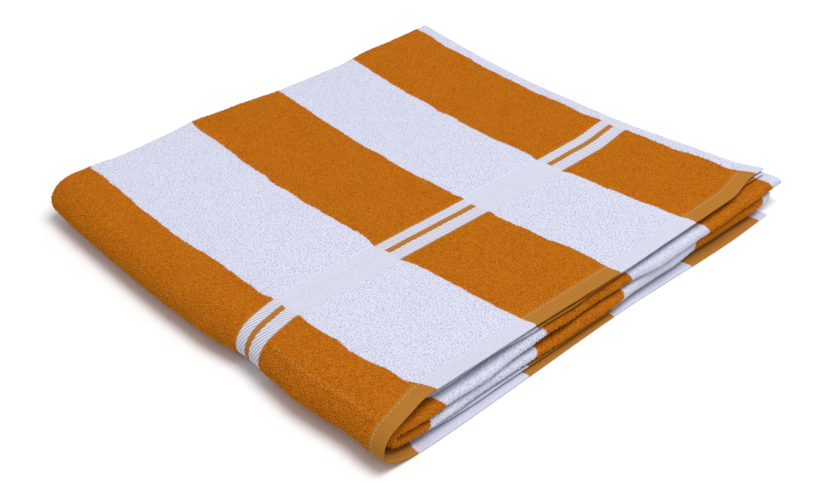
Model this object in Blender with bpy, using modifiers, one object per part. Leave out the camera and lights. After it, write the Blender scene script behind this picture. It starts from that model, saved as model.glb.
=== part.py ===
"""Beach towel in wide stripes, folded into a flat bundle of eight layers.

The towel is one open sheet.  It is folded in half twice along its length, which
gives four layers with both hems at the +X end, and then once across its width,
round a soft nose at the -Y side.  Solidify gives the sheet its thickness.

Metres.  +X runs along the stripes to the hems, +Y across them to the selvages,
+Z up.  The origin is under the middle of the folded towel.
"""
import math

import bpy
import numpy as np

# ---- driving dimensions of the cloth -------------------------------------------
STRIPE = 0.082            # width of each full stripe, orange or white
EDGE_STRIPE = 0.012       # narrow white stripe along each selvage
CLOTH = 0.0025            # thickness of the terry
HEM = 0.012               # depth of the flat hem
BAND_NEAR = 0.106         # woven border, from the hem's edge ...
BAND_FAR = 0.131          # ... to here
FOLDED_LENGTH = 0.3485    # hem's edge to the tip of the outer fold

# ---- driving dimensions of the bundle ------------------------------------------
LEAST_GAP = 0.00055       # air between two layers where they lie closest
HEIGHT_AT_NOSE = 0.0290   # top of the bundle beside the nose
HEIGHT_AT_SELVAGE = 0.0274
SAG = 0.0016              # the top lies this much lower half-way along the bundle
BOW_AT_NOSE = 0.0066      # the bundle bends: half-way along, it lies this much
BOW_AT_SELVAGE = 0.0145   # nearer to the -Y side than at its ends
LEFT_END_START = 0.22     # the folded end strays from here on, over this length
LEFT_END_LENGTH = 0.12
NOSE_REACH = 0.0267       # how far the outer layer bulges past the nose's axis
NOSE_NESTING = 0.0050     # each inner layer's tip stops this much short of the next
NOSE_SHIFT = 0.006        # the tip of the nose lies this far from the cloth's middle
TAKEN_UP = 0.0025         # cloth that each inner layer loses in creases at the nose

# Distances from the cloth's middle line to its stripes' edges and middles, and last
# to the selvage.
STRIPE_MARKS = np.array([STRIPE / 2 * (1 + step) for step in range(9)]
                        + [STRIPE * 4.5 + EDGE_STRIPE])

# ---- how finely the sheet is divided -------------------------------------------
NOSE_STEPS = 8
OUTER_FOLD_STEPS = 6
INNER_FOLD_STEPS = 4
INNER_RUN_STEPS = 14
OUTER_RUN_MARKS = (0.0, HEM, 0.032, 0.055, 0.080, BAND_NEAR, BAND_FAR, 0.152, 0.174, 0.196,
                   0.218, 0.240, 0.262, 0.284, 0.306)

# ---- colours -------------------------------------------------------------------
ORANGE = (0.48, 0.14, 0.010, 1.0)
WHITE = (0.72, 0.73, 0.86, 1.0)
ROUGHNESS = 0.95
METALLIC = 0.0

# Layers are numbered from the surface up: 0 to 3 lie under the middle of the nose
# and 4 to 7 above it.  Layer 7 goes on round the nose as layer 0, 6 as 1, 5 as 2
# and 4 as 3, so the upper number names the pair.
OUTER, BELOW_OUTER, ABOVE_INNER, INNER = 7, 6, 5, 4
PITCH = CLOTH + 2 * LEAST_GAP
OUTER_FOLD_RADIUS = 1.6 * PITCH
INNER_FOLD_RADIUS = 0.5 * PITCH
RIDGE_RADIUS = 0.7 * PITCH
INNER_FOLD_RECESS = 1.8 * PITCH

# Where the cloth ends or turns, along X from the line of the upper hem.  "across"
# is the distance along the cloth from the tip of the nose, less than zero under it.
HEM_1_LINE = (("across", "x"),
              (-0.38, 0.0098), (-0.33, 0.0108), (-0.20, 0.0072), (-0.05, 0.0082),
              (0.00, 0.0050), (0.05, -0.0008), (0.12, 0.0008), (0.20, 0.0020),
              (0.30, 0.0014), (0.335, 0.0010), (0.38, -0.0060))
HEM_2_LINE = (("across", "x"),
              (-0.36, -0.0030), (-0.24, 0.0000), (-0.18, 0.0045), (-0.13, 0.0040),
              (-0.09, 0.0000), (-0.04, -0.0040), (0.00, -0.0090), (0.06, -0.0040),
              (0.13, 0.0005), (0.20, 0.0015), (0.27, -0.0010), (0.33, -0.0045),
              (0.38, -0.0050))
RIDGE_LINE = (("across", "x"),
              (-0.36, 0.0045), (-0.29, 0.0035), (-0.22, 0.0045), (-0.08, 0.0035),
              (-0.04, 0.0005), (0.00, -0.0050), (0.05, 0.0000), (0.10, 0.0015),
              (0.17, 0.0010), (0.24, 0.0052), (0.31, 0.0052), (0.38, 0.0048))
FOLD_LINE = (("across", "x"),
             (-0.38, 0.0000), (-0.13, 0.0040), (-0.06, 0.0110), (-0.03, 0.0095),
             (0.03, 0.0010), (0.06, 0.0000), (0.40, 0.0000))

# How far the nose strays along Y, for places along X from the line of the upper hem.
NOSE_LINE = (("x", "y"), (-0.345, 0.0040), (-0.28, 0.0030), (-0.20, 0.0024),
             (-0.150, 0.0028), (-0.118, 0.0055), (-0.090, 0.0032), (-0.062, 0.0006),
             (-0.025, 0.0014), (0.005, -0.0022))

# How far the folded end strays along X and the stripes along Y, and the height of the
# top face, for places along Y from the axis of the outer nose.
LEFT_END_LINE = (("y", "x"), (-0.028, 0.0030), (0.010, 0.0046), (0.040, 0.0078),
                 (0.072, 0.0062), (0.100, 0.0025), (0.130, 0.0045), (0.190, 0.0085),
                 (0.240, 0.0082), (0.285, 0.0030), (0.355, 0.0020))
HEIGHT_LINE = (("y", "height"), (-0.02, HEIGHT_AT_NOSE), (0.35, HEIGHT_AT_SELVAGE))
DRIFT_LINE = (("y", "drift"), (-0.028, 0.0000), (0.012, -0.0022), (0.096, 0.0041),
              (0.178, 0.0031), (0.260, 0.0010), (0.330, -0.0012), (0.355, -0.0026))

# Spare height is shared among the seven gaps.  A row adds to one gap's share near
# one place, or takes from it; "x" is from the hem line and "y" from the nose's axis.
LOOSE_PLACES = (("gap", "x", "y", "reach_x", "reach_y", "share"),
                (6, 0.000, 0.020, 0.030, 0.030, 2.0),
                (3, 0.004, 0.108, 0.025, 0.016, 5.0),
                (3, 0.000, 0.230, 0.050, 0.170, -0.85),
                (4, 0.005, 0.280, 0.040, 0.130, 4.0),
                (2, 0.005, 0.280, 0.040, 0.130, 4.0),
                (0, 0.000, 0.200, 0.060, 0.130, -0.80),
                (1, 0.000, 0.180, 0.060, 0.160, -0.80),
                (3, -0.348, 0.150, 0.060, 0.200, 2.0))


def rows_of(table):
    """A table's rows as an array, without its line of column names."""
    return np.array(table[1:], dtype=float)


def ease(part):
    """A share from 0 to 1, made to start and stop gently."""
    part = np.clip(part, 0.0, 1.0)
    return part * part * (3.0 - 2.0 * part)


def smooth_line(table, at):
    """Read a two-column table at many places, easing from each row to the next."""
    places, values = rows_of(table).T
    row = np.clip(np.searchsorted(places, at) - 1, 0, len(places) - 2)
    part = ease((at - places[row]) / (places[row + 1] - places[row]))
    return values[row] * (1.0 - part) + values[row + 1] * part


# ---- the form of the bundle ----------------------------------------------------
def sagged(x):
    """1 half-way along the bundle and 0 at both of its ends."""
    return 1.0 - (2.0 * x / FOLDED_LENGTH + 1.0) ** 2


def warped(x, y):
    """X and Y after the bundle's bend and the uneven lines of its end and its nose."""
    part = (y + NOSE_REACH) / (STRIPE_MARKS[-1] + NOSE_REACH)
    bow = BOW_AT_NOSE + (BOW_AT_SELVAGE - BOW_AT_NOSE) * part
    pushed = smooth_line(LEFT_END_LINE, y) * ease(-(x + LEFT_END_START) / LEFT_END_LENGTH)
    dented = smooth_line(NOSE_LINE, x) * ease((NOSE_REACH - y) / (2 * NOSE_REACH))
    return x + pushed, y + smooth_line(DRIFT_LINE, y) + dented - bow * sagged(x)


# ---- the stack of layers -------------------------------------------------------
def layer_heights(x, y):
    """Height of the middle of each of the eight layers, one array for each."""
    least = CLOTH + LEAST_GAP
    spare = smooth_line(HEIGHT_LINE, y) - SAG * sagged(x) - CLOTH - 7 * least
    shares = np.ones((7,) + x.shape)
    for gap, at_x, at_y, reach_x, reach_y, share in rows_of(LOOSE_PLACES):
        away = ((x - at_x) / reach_x) ** 2 + ((y - at_y) / reach_y) ** 2
        shares[int(gap)] += share * np.exp(-away)
    steps = least + spare * shares / shares.sum(axis=0)
    lowest = np.zeros((1,) + x.shape)
    return CLOTH / 2 + np.concatenate([lowest, np.cumsum(steps, axis=0)])


def height_of(layer, x, y):
    """Height at a layer number that may lie between two layers, as in a fold."""
    heights = layer_heights(x, y)
    lower = min(int(layer), 6)
    part = layer - lower
    return heights[lower] * (1.0 - part) + heights[lower + 1] * part


def end_lines(across):
    """Where the cloth ends or turns, for each place across the towel."""
    fold = smooth_line(FOLD_LINE, across) - FOLDED_LENGTH
    return {"hem 1": smooth_line(HEM_1_LINE, across),
            "hem 2": smooth_line(HEM_2_LINE, across),
            "ridge": smooth_line(RIDGE_LINE, across) - RIDGE_RADIUS,
            "outer fold": fold + OUTER_FOLD_RADIUS,
            "inner fold": fold + INNER_FOLD_RECESS}


# ---- the rows of the sheet -----------------------------------------------------
def fold_rows(first, last, line, radius, steps):
    """Rows round a fold that joins two layers, as half a circle about its line."""
    rows = []
    for step in range(steps + 1):
        angle = math.pi * step / steps
        layer = (first + last) / 2 + (first - last) / 2 * math.cos(angle)
        rows.append((layer, line, line, 0.0, radius * math.sin(angle)))
    return rows


def run_rows(layer, start, end):
    """Evenly spaced rows along one inner layer, between two lines."""
    return [(layer, start, end, step / INNER_RUN_STEPS, 0.0)
            for step in range(1, INNER_RUN_STEPS)]


def sheet_rows():
    """The rows of the sheet from hem 1, on the outside, to hem 2.

    Each row is (layer, start line, end line, share of the way, turn): the row lies
    at that share of the way between two lines, and turn is how far it stands out
    from there round a fold.
    """
    rows = [(OUTER, "hem 1", "outer fold", mark / FOLDED_LENGTH, 0.0)
            for mark in OUTER_RUN_MARKS]
    rows += fold_rows(OUTER, INNER, "outer fold", -OUTER_FOLD_RADIUS, OUTER_FOLD_STEPS)
    rows += run_rows(INNER, "outer fold", "ridge")
    rows += fold_rows(INNER, ABOVE_INNER, "ridge", RIDGE_RADIUS, INNER_FOLD_STEPS)
    rows += run_rows(ABOVE_INNER, "ridge", "inner fold")
    rows += fold_rows(ABOVE_INNER, BELOW_OUTER, "inner fold", -INNER_FOLD_RADIUS,
                      INNER_FOLD_STEPS)
    rows += run_rows(BELOW_OUTER, "inner fold", "hem 2")
    rows.append((BELOW_OUTER, "hem 2", "hem 2", 0.0, 0.0))
    return rows


# ---- the columns across the sheet ----------------------------------------------
def nose_of(layer, upper, lower):
    """The half ellipse in which a layer goes round the nose.

    It is round on the inner layers and longer on the outer ones.  Each layer's tip
    stops short of the next, so the inner layers fill the nose.  Gives the half
    height, the reach, where its axis lies in Y and the length of one quarter.
    """
    half = (upper - lower) / 2
    outer_half = (HEIGHT_AT_NOSE - CLOTH) / 2
    reach = half * (1.0 + (NOSE_REACH / outer_half - 1.0) * half / outer_half)
    axis = reach - NOSE_REACH + NOSE_NESTING * (OUTER - layer)
    quarter = math.pi / 2 * np.sqrt((reach ** 2 + half ** 2) / 2)
    return half, reach, axis, quarter


def folded_row(row):
    """All points of one row of the sheet, from the lower selvage to the upper."""
    layer, start, end, share, turn = row

    def place(across, y):
        """X and both heights of this row at some places across the towel."""
        lines = end_lines(across)
        x = lines[start] * (1.0 - share) + lines[end] * share + turn
        return x, height_of(layer, x, y), height_of(OUTER - layer, x, y)

    x, upper, lower = place(np.zeros(1), np.zeros(1))
    quarter = nose_of(layer, upper, lower)[3]

    angle = np.linspace(-math.pi / 2, math.pi / 2, NOSE_STEPS + 1)
    x, upper, lower = place(quarter * angle / (math.pi / 2), np.zeros(NOSE_STEPS + 1))
    half, reach, axis, quarter = nose_of(layer, upper, lower)
    middle = (upper + lower) / 2
    nose = np.stack([*warped(x, axis - reach * np.cos(angle)), middle + half * np.sin(angle)], 1)

    taken_up = TAKEN_UP * (OUTER - layer)
    top_length = STRIPE_MARKS + NOSE_SHIFT - taken_up
    top_y = top_length - quarter[-1] + axis[-1]
    x, upper, lower = place(top_length, top_y)
    top = np.stack([*warped(x, top_y), upper], 1)

    under_length = (STRIPE_MARKS - NOSE_SHIFT - taken_up)[::-1]
    under_y = under_length - quarter[0] + axis[0]
    x, upper, lower = place(-under_length, under_y)
    under = np.stack([*warped(x, under_y), lower], 1)
    return np.concatenate([under, nose, top])


def column_is_white():
    """For each column of faces, from the lower selvage up, whether it is white."""
    middles = (STRIPE_MARKS[:-1] + STRIPE_MARKS[1:]) / 2
    white = ((middles - STRIPE / 2) // STRIPE) % 2 == 0
    centre = np.zeros(NOSE_STEPS + 2, dtype=bool)
    return np.concatenate([white[::-1], centre, white])


# ---- the object ----------------------------------------------------------------
def grid_faces(row_count, column_count):
    """Four-cornered faces between neighbouring points of a grid."""
    corner = np.arange(row_count * column_count).reshape(row_count, column_count)
    around = (corner[:-1, :-1], corner[:-1, 1:], corner[1:, 1:], corner[1:, :-1])
    return np.stack(around, axis=-1).reshape(-1, 4)


def terry_material(name, colour):
    """Matt cotton terry in one colour."""
    material = bpy.data.materials.new(name)
    material.use_nodes = True
    shader = material.node_tree.nodes["Principled BSDF"]
    shader.inputs["Base Color"].default_value = colour
    shader.inputs["Roughness"].default_value = ROUGHNESS
    shader.inputs["Metallic"].default_value = METALLIC
    return material


def build_towel():
    """The folded sheet as one object, centred over the origin."""
    points = np.array([folded_row(row) for row in sheet_rows()])
    row_count, column_count = points.shape[:2]
    low = points.min(axis=(0, 1))
    high = points.max(axis=(0, 1))
    points[:, :, :2] -= (low[:2] + high[:2]) / 2

    mesh = bpy.data.meshes.new("towel")
    faces = grid_faces(row_count, column_count)
    mesh.from_pydata(points.reshape(-1, 3).tolist(), [], faces.tolist())
    mesh.materials.append(terry_material("orange terry", ORANGE))
    mesh.materials.append(terry_material("white terry", WHITE))
    slots = np.tile(column_is_white(), row_count - 1).astype(np.int32)
    mesh.polygons.foreach_set("material_index", slots)
    mesh.shade_smooth()

    towel = bpy.data.objects.new("towel", mesh)
    thickness = towel.modifiers.new("thickness", "SOLIDIFY")
    thickness.thickness = CLOTH
    thickness.offset = 0.0
    return towel


def main():
    """Clear the scene and put the towel in a collection of its own."""
    for old in list(bpy.data.objects):
        bpy.data.objects.remove(old, do_unlink=True)
    collection = bpy.data.collections.new("beach_towel")
    bpy.context.scene.collection.children.link(collection)
    collection.objects.link(build_towel())


main()
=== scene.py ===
# %% [markdown]
# # A folded beach towel
#
# This script dresses a striped beach towel that lies folded in eight layers.
# The frame already holds the towel as one plain solid in its true folds.
# Here that solid is replaced by a thin sheet of terry with the same folds, fine
# enough for soft creases, a flat hem and a flat woven border.
# Then come the stitches of the hems, the loops of the terry, the colours of the
# yarn, the floor, the light and the camera.

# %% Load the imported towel
import math

import bpy
import numpy as np
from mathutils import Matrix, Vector


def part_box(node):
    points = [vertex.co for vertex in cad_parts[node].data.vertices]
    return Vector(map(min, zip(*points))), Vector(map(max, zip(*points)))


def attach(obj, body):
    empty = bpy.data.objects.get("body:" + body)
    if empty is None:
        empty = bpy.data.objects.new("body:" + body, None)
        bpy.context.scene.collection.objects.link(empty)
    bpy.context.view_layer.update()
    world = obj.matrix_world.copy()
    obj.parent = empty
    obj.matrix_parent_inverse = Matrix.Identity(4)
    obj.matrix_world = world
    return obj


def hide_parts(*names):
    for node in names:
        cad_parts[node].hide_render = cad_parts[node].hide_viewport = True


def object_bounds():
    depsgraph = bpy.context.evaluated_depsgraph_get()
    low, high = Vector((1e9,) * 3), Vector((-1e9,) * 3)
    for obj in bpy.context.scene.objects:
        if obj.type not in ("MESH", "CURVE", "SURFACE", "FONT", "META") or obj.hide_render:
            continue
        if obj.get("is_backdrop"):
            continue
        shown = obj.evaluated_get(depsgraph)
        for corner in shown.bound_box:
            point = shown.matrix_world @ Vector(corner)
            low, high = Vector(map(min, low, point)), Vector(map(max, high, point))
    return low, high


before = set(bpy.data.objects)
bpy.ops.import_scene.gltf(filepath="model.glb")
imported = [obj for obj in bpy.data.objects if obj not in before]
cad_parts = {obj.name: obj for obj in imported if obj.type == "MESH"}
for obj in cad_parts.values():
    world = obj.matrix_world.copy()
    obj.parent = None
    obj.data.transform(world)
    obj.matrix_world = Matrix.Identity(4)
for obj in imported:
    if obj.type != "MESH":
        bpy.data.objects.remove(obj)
solid_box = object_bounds()
solid_low, solid_high = (np.array(corner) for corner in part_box("towel"))
print("solid of the towel, in mm:", np.round((solid_high - solid_low) * 1000, 1))

# %% [markdown]
# ## The cloth
#
# A towel like this is woven in one piece, about 76 cm wide and nearly 140 cm long.
# Its stripes run along its length, in yarn that is dyed before weaving, so both
# faces show them alike.
# Nine full stripes and a narrow one along each selvage make its width, so the
# width is worked out from one stripe.
# A hem and a woven border cross each end, at these distances from it.
# All lengths in this script are in metres.

# %% Sizes of the cloth
STRIPE = 0.082
EDGE_STRIPE = 0.012
HALF_WIDTH = 4.5 * STRIPE + EDGE_STRIPE
CLOTH = 0.0025
HEM = 0.012
BAND_NEAR, BAND_FAR = 0.106, 0.131
print("full width of the cloth:", round(2 * HALF_WIDTH, 3), "m")

# %% [markdown]
# ## The bundle
#
# The towel is folded in half twice along its length and once across its width.
# That gives eight layers, numbered from 0 on the surface to 7 on top.
# The fold across the width is a round nose at -Y, where layer 7 turns into 0, 6
# into 1, 5 into 2 and 4 into 3.
# Both hems and the ridge between the inner layers end at +X, and the other two
# folds at -X.
# A pitch is one layer and the air on both its sides, and each fold's radius is
# some share of it.

# %% Sizes of the bundle
OUTER, BELOW_OUTER, ABOVE_INNER, INNER = 7, 6, 5, 4
FOLDED_LENGTH = 0.3485
LEAST_GAP = 0.00055
PITCH = CLOTH + 2 * LEAST_GAP
OUTER_FOLD_RADIUS = 1.6 * PITCH
INNER_FOLD_RADIUS = 0.5 * PITCH
RIDGE_RADIUS = 0.7 * PITCH
INNER_FOLD_RECESS = 1.8 * PITCH
print("pitch of the layers:", round(PITCH * 1000, 2), "mm")

# %% [markdown]
# ## Lines where the cloth ends or turns
#
# No real fold is straight.
# A cloth simulation would make folds uneven too, but not in the places where this
# towel's are, so short tables are given.
# Each table says how far a hem or a fold strays along X, for places across the
# towel: "across" is measured along the cloth from the tip of the nose, and is
# less than zero under it.
# Between two rows the value eases in and out, as soft cloth does.

# %% Read a table
def rows_of(table):
    """A table's rows as an array, without its line of column names."""
    return np.array(table[1:], dtype=float)


def ease(part):
    """A share from 0 to 1, made to start and stop gently: 3p^2 - 2p^3."""
    part = np.clip(part, 0.0, 1.0)
    return part * part * (3.0 - 2.0 * part)


def smooth_line(table, at):
    """Read a two-column table at many places, easing from each row to the next."""
    places, values = rows_of(table).T
    row = np.clip(np.searchsorted(places, at) - 1, 0, len(places) - 2)
    part = ease((at - places[row]) / (places[row + 1] - places[row]))
    return values[row] * (1.0 - part) + values[row + 1] * part


print("a quarter of the way, a value has changed by", round(float(ease(0.25)), 3), "of its step")

# %% Lines of the hems and folds
HEM_1_LINE = (("across", "x"),
              (-0.38, 0.0098), (-0.33, 0.0108), (-0.20, 0.0072), (-0.05, 0.0088),
              (0.00, 0.0072), (0.02, 0.0052), (0.05, -0.0004), (0.12, 0.0008), (0.20, 0.0020),
              (0.30, 0.0014), (0.335, 0.0010), (0.38, -0.0060))
HEM_2_LINE = (("across", "x"),
              (-0.36, -0.0030), (-0.24, 0.0000), (-0.18, 0.0045), (-0.13, 0.0050),
              (-0.09, 0.0045), (-0.05, 0.0030), (-0.01, -0.0050), (0.06, -0.0040),
              (0.13, 0.0005), (0.20, 0.0015), (0.27, -0.0010), (0.33, -0.0045),
              (0.38, -0.0050))
RIDGE_LINE = (("across", "x"),
              (-0.36, 0.0045), (-0.29, 0.0035), (-0.22, 0.0045), (-0.08, 0.0035),
              (-0.04, 0.0030), (0.00, 0.0010), (0.05, 0.0025), (0.10, 0.0018),
              (0.17, 0.0010), (0.24, 0.0052), (0.31, 0.0052), (0.38, 0.0048))
FOLD_LINE = (("across", "x"),
             (-0.38, 0.0000), (-0.13, 0.0040), (-0.06, 0.0110), (-0.03, 0.0095),
             (0.03, 0.0010), (0.06, 0.0000), (0.40, 0.0000))
print("hem 1 strays by", round(np.ptp(rows_of(HEM_1_LINE)[:, 1]) * 1000, 1), "mm")

# %% [markdown]
# ## Ripples
#
# Nothing presses on the edges of the ridge and of the inner hem, so they also
# wave a little every two or three centimetres.
# A sine would look like a machine's work, so random heights are set on a row and
# eased between.
# A ripple has a typical length, a height and a seed that keeps it the same.

# %% Ripples
RIDGE_RIPPLE = (0.023, 0.0009, 1)
HEM_2_RIPPLE = (0.031, 0.0012, 2)
NET = 64
LINES = ("hem 1", "outer fold", "ridge", "inner fold", "hem 2")


def ripple(across, length, height, seed):
    """Small waves of one typical length: random heights on a row, eased between."""
    heights = np.random.default_rng(seed).uniform(-height, height, NET)
    place = across / length
    step = np.floor(place).astype(int)
    part = ease(place - step)
    return heights[step % NET] * (1.0 - part) + heights[(step + 1) % NET] * part


def line_places(across):
    """Where each of the five lines lies along X, for places across the towel: its
    straying line, moved in by the radius of its fold, and its ripple."""
    fold = smooth_line(FOLD_LINE, across) - FOLDED_LENGTH
    ridge = smooth_line(RIDGE_LINE, across) - RIDGE_RADIUS + ripple(across, *RIDGE_RIPPLE)
    hem_2 = smooth_line(HEM_2_LINE, across) + ripple(across, *HEM_2_RIPPLE)
    return np.stack([smooth_line(HEM_1_LINE, across), fold + OUTER_FOLD_RADIUS, ridge,
                     fold + INNER_FOLD_RECESS, hem_2])


on_stripe = np.round(line_places(np.array([STRIPE]))[:, 0] * 1000, 1).tolist()
print("lines at the second stripe, in mm:", dict(zip(LINES, on_stripe)))

# %% [markdown]
# ## Stations along the cloth
#
# The sheet is a surface of two parameters: the distance along the cloth and the
# distance across it.
# Along the cloth it is cut into stations.
# A station has a layer number, which lies between two layers inside a fold, a
# distance that the fold bulges along X, and its place between two of the lines.
# Stations lie close together at hems, borders and folds, and far apart where the
# layers hide.

# %% Kinds of stations
def run_stations(layer, start, end, shares):
    """Stations at some shares of the way between two lines, on one layer."""
    weights = np.zeros((len(shares), len(LINES)))
    weights[:, LINES.index(start)] += 1.0 - shares
    weights[:, LINES.index(end)] += shares
    levels = np.full(len(shares), float(layer))
    return np.column_stack([levels, np.zeros(len(shares)), weights])


def fold_stations(first, last, line, radius, steps):
    """Stations round a fold: the layer number swings by a cosine, and x by a sine."""
    angle = np.linspace(0.0, math.pi, steps + 1)[1:-1]
    weights = np.zeros((len(angle), len(LINES)))
    weights[:, LINES.index(line)] = 1.0
    levels = (first + last) / 2 + (first - last) / 2 * np.cos(angle)
    return np.column_stack([levels, radius * np.sin(angle), weights])


print("a station holds a level, a bulge and", len(LINES), "weights")

# %% Marks on the outer layer
HEM_EDGE_STATIONS = np.array([0.0, 0.0002, 0.0006, 0.0012, 0.0025, 0.0045, 0.0070])
STEP_WIDTH = 0.0005
TOP_SPACING = 0.0036

outer_run = FOLDED_LENGTH - OUTER_FOLD_RADIUS
step_sides = np.array([-1.0, 1.0]) * STEP_WIDTH
marks = np.concatenate([HEM_EDGE_STATIONS, HEM + step_sides, BAND_NEAR + step_sides,
                        BAND_FAR + step_sides,
                        np.arange(HEM + 4 * STEP_WIDTH, outer_run, TOP_SPACING), [outer_run]])
marks = np.sort(marks)
marks = marks[np.append(True, np.diff(marks) > STEP_WIDTH / 4)]
print(len(marks), "marks from the hem to the fold")

# %% All stations
HIDDEN_PART = 0.86
SHARES_LEFT_AT_RIDGE = np.array([0.07, 0.04, 0.022, 0.011, 0.004, 0.0])
NEAR_HEM_2 = 0.88

hidden = np.linspace(0.0, HIDDEN_PART, 9)
to_ridge = np.concatenate([hidden, 1.0 - SHARES_LEFT_AT_RIDGE])
near_hem_2 = 1.0 - marks[::-1] / outer_run
near_hem_2 = near_hem_2[near_hem_2 > NEAR_HEM_2]
stations = np.concatenate([
    run_stations(OUTER, "hem 1", "outer fold", marks / outer_run),
    fold_stations(OUTER, INNER, "outer fold", -OUTER_FOLD_RADIUS, steps=18),
    run_stations(INNER, "outer fold", "ridge", to_ridge),
    fold_stations(INNER, ABOVE_INNER, "ridge", RIDGE_RADIUS, steps=12),
    run_stations(ABOVE_INNER, "ridge", "inner fold", 1.0 - to_ridge[::-1]),
    fold_stations(ABOVE_INNER, BELOW_OUTER, "inner fold", -INNER_FOLD_RADIUS, steps=10),
    run_stations(BELOW_OUTER, "inner fold", "hem 2", np.concatenate([hidden, near_hem_2])),
])
print(len(stations), "stations along the cloth")

# %% [markdown]
# ## Columns across the cloth
#
# Columns run along the towel's length.
# They are dense on top, where every soft dent shows, densest round the nose, and
# sparse underneath.
# A few hug each selvage, so that its edge can be rounded.

# %% Columns
EDGE_COLUMNS = np.array([0.0, 0.0002, 0.0006, 0.0012, 0.0030, 0.0060, 0.0090])
NOSE_START, NOSE_END = -0.046, 0.042

top_columns = np.linspace(NOSE_END, HALF_WIDTH - EDGE_STRIPE, 92)
nose_columns = np.linspace(NOSE_START, NOSE_END, 45)[:-1]
under_columns = np.linspace(EDGE_STRIPE - HALF_WIDTH, NOSE_START, 46)[:-1]
columns = np.concatenate([EDGE_COLUMNS - HALF_WIDTH, under_columns, nose_columns,
                          top_columns, HALF_WIDTH - EDGE_COLUMNS[::-1]])
print(len(columns), "columns,", len(stations) * len(columns), "points")

# %% [markdown]
# ## The bundle's outline
#
# Seen from above, a folded towel is no rectangle.
# Half-way along, all of it bows towards the side of the nose, the stripes drift
# by a few millimetres, the nose has a hollow, and the folded end at -X is wavy.
# All of these move points within their level, so they can be added at the end.

# %% Bend and outline
NOSE_REACH = 0.0267
BOW_AT_NOSE = 0.0066
BOW_AT_SELVAGE = 0.0145
LEFT_END_START = 0.22
LEFT_END_LENGTH = 0.12
DRIFT_LINE = (("y", "drift"), (-0.028, 0.0000), (0.012, -0.0022), (0.096, 0.0041),
              (0.178, 0.0031), (0.260, 0.0010), (0.330, -0.0012), (0.355, -0.0026))
NOSE_LINE = (("x", "y"), (-0.345, 0.0040), (-0.28, 0.0030), (-0.20, 0.0024),
             (-0.150, 0.0028), (-0.118, 0.0055), (-0.090, 0.0032), (-0.062, 0.0006),
             (-0.025, 0.0014), (0.005, -0.0022))
LEFT_END_LINE = (("y", "x"), (-0.028, 0.0030), (0.010, 0.0046), (0.040, 0.0078),
                 (0.072, 0.0062), (0.100, 0.0025), (0.130, 0.0045), (0.190, 0.0085),
                 (0.240, 0.0082), (0.285, 0.0030), (0.355, 0.0020))


def midway(x):
    """1 half-way along the bundle and 0 at both ends: one less a square of x."""
    return 1.0 - (2.0 * x / FOLDED_LENGTH + 1.0) ** 2


def warped(x, y):
    """X and Y after the bow, the drift and the uneven lines of nose and folded end.
    The bow is a square curve of x, and each line fades out by an eased share."""
    part = (y + NOSE_REACH) / (HALF_WIDTH + NOSE_REACH)
    bow = BOW_AT_NOSE + (BOW_AT_SELVAGE - BOW_AT_NOSE) * part
    pushed = smooth_line(LEFT_END_LINE, y) * ease(-(x + LEFT_END_START) / LEFT_END_LENGTH)
    hollow = smooth_line(NOSE_LINE, x) * ease((NOSE_REACH - y) / (2 * NOSE_REACH))
    return x + pushed, y + smooth_line(DRIFT_LINE, y) + hollow - bow * midway(x)


print("the selvage bows by", BOW_AT_SELVAGE * 1000, "mm")

# %% [markdown]
# ## The height of each layer
#
# The bundle's height is shared out among its eight layers.
# Each gap gets the least air that cloth leaves, and the spare height goes by
# shares: one for each gap, and more or less where the towel is loose or pressed.
# The top sags half-way, because the folds hold its two ends up.
# Hems have no loops and are thin, so the layers beside them open a little.

# %% Heights
HEIGHT_AT_NOSE = 0.0290
HEIGHT_AT_SELVAGE = 0.0274
SAG = 0.0016
HEM_SHARE = 0.64
THIN_FROM = 1.7 * HEM
HEIGHT_LINE = (("y", "height"), (-0.02, HEIGHT_AT_NOSE), (0.35, HEIGHT_AT_SELVAGE))
LOOSE_PLACES = (("gap", "x", "y", "reach_x", "reach_y", "share"),
                (6, 0.000, 0.020, 0.030, 0.040, 4.5),
                (3, 0.004, 0.108, 0.025, 0.016, 5.0),
                (3, 0.000, 0.230, 0.050, 0.170, -0.85),
                (4, 0.005, 0.280, 0.040, 0.130, 4.0),
                (2, 0.005, 0.280, 0.040, 0.130, 4.0),
                (0, 0.000, 0.200, 0.060, 0.130, -0.80),
                (1, 0.000, 0.180, 0.060, 0.160, -0.80),
                (3, -0.348, 0.150, 0.060, 0.200, 2.0))
GAPS = np.arange(OUTER).reshape(OUTER, 1, 1)
HEMS_BESIDE_GAP = np.array([2, 1, 0, 0, 0, 1, 2]).reshape(OUTER, 1, 1)


def height_of(layer, x, y):
    """Height of a layer's middle: half a thickness, plus the steps of all the gaps
    below its number.  A step is the least pitch and the gap's share of the spare."""
    thinner = (1.0 - HEM_SHARE) * CLOTH / 2 * ease((x + THIN_FROM) / HEM)
    least = CLOTH + LEAST_GAP - thinner * HEMS_BESIDE_GAP
    lowest = CLOTH / 2 - thinner
    top = smooth_line(HEIGHT_LINE, y) - SAG * midway(x) - CLOTH / 2
    shares = np.ones((OUTER,) + x.shape)
    for gap, at_x, at_y, reach_x, reach_y, share in rows_of(LOOSE_PLACES):
        away = ((x - at_x) / reach_x) ** 2 + ((y - at_y) / reach_y) ** 2
        shares[int(gap)] += share * np.exp(-away)
    spare = top - lowest - least.sum(axis=0)
    steps = least + spare * shares / shares.sum(axis=0)
    crossed = np.clip(layer - GAPS, 0.0, 1.0)
    return lowest + (steps * crossed).sum(axis=0)


print("places that are loose or pressed:", len(LOOSE_PLACES) - 1)

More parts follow.
